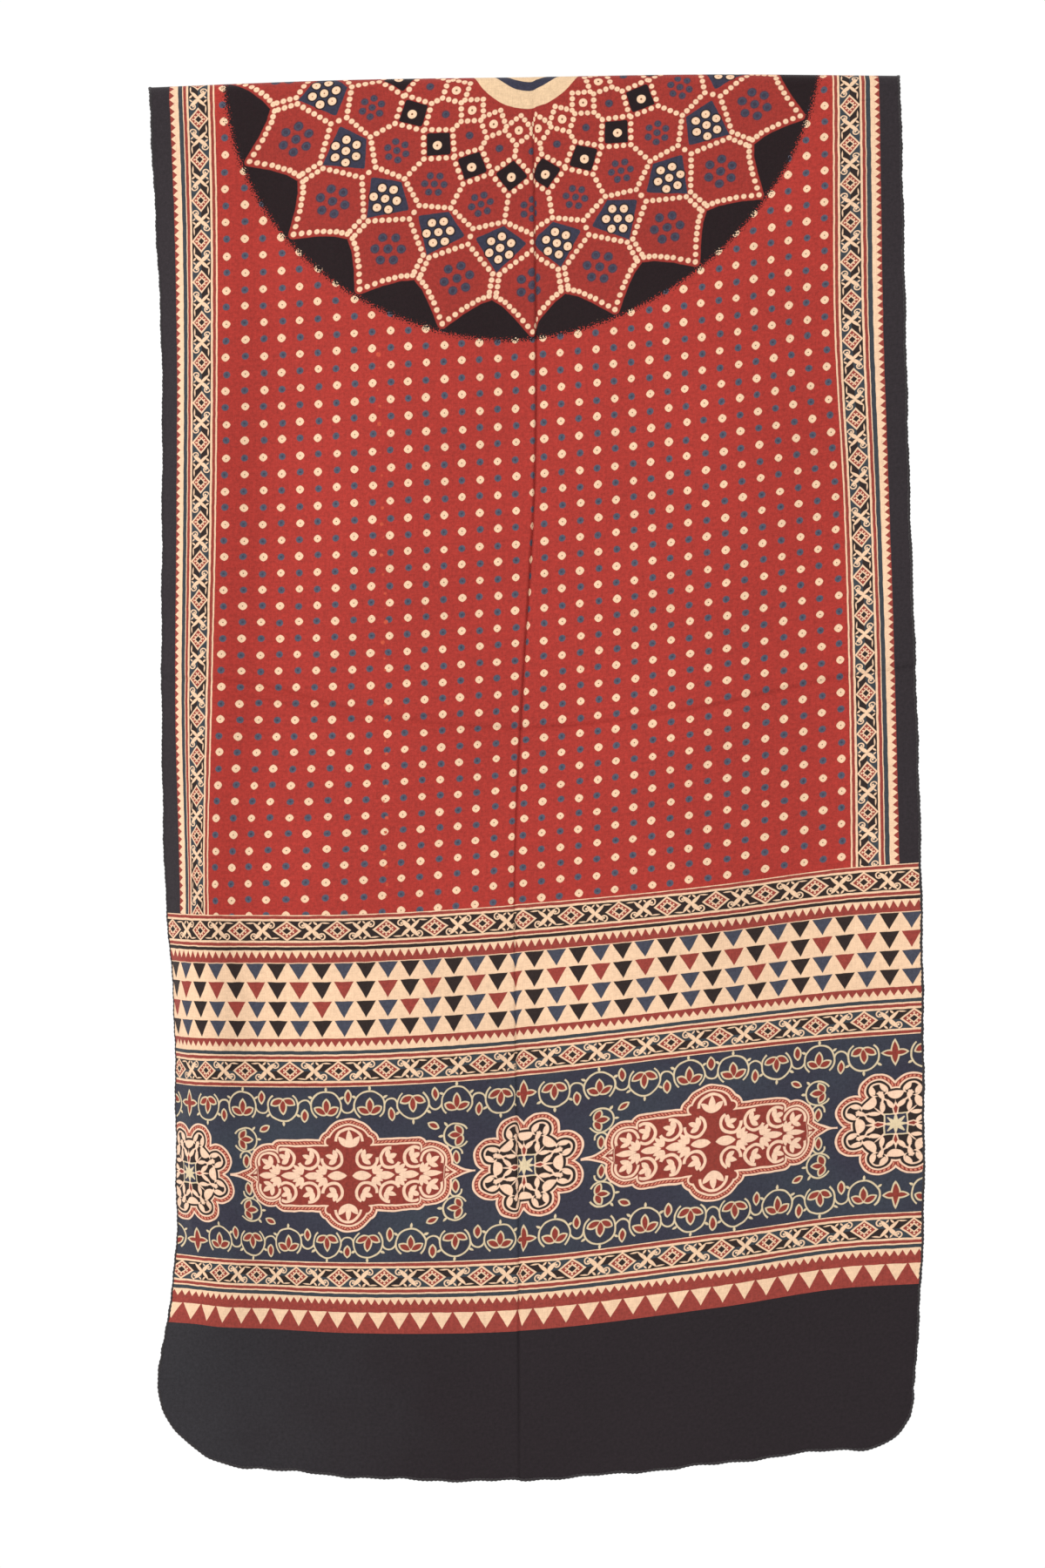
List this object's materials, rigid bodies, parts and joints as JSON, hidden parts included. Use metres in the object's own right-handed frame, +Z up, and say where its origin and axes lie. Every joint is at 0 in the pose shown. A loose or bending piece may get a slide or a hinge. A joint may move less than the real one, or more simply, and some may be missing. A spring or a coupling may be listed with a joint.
{
  "type": "ajrakh cloth",
  "caption": "Long block-printed cloth hung double over an unseen bar, with a petalled medallion at the fold, a dotted field, patterned borders, a figured panel and plain dark ends.",
  "frame": {"origin": "on the crown of the top fold, half-way across the cloth", "axes": "+Z up, out of the fold; +X to the right of someone facing the printed front; +Y to the back layer"},
  "size_m": [0.5749, 0.0422, 1.0455],
  "materials": {
    "printed_cotton": "matt, with a soft sheen"
  },
  "bodies": {
    "root": {"cloth": "printed_cotton"}
  },
  "joints": []
}
